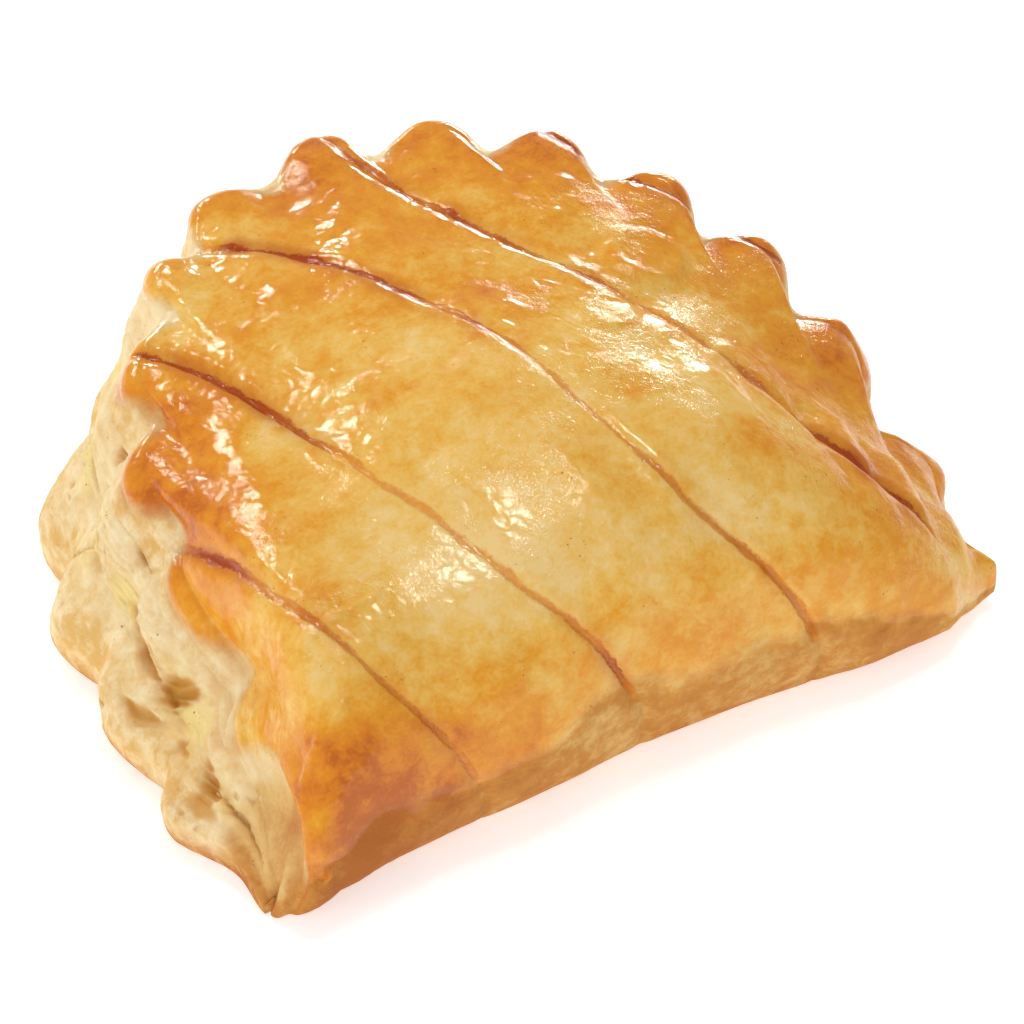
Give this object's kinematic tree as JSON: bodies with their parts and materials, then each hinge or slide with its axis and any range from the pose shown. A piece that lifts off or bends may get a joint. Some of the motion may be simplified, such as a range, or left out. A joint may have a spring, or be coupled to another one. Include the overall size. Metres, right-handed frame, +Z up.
{
  "type": "apple turnover",
  "caption": "Half-moon puff pastry turnover, folded along one straight edge, with a scalloped cut edge and slanting score cuts.",
  "frame": {"origin": "centre of the footprint's box, on the flat underside", "axes": "+X along the fold towards the thin tip, +Y from the fold towards the scalloped edge, +Z up"},
  "size_m": [0.13, 0.1132, 0.0452],
  "materials": {
    "crust": "satin"
  },
  "bodies": {
    "root": {"turnover": "crust"}
  },
  "joints": []
}
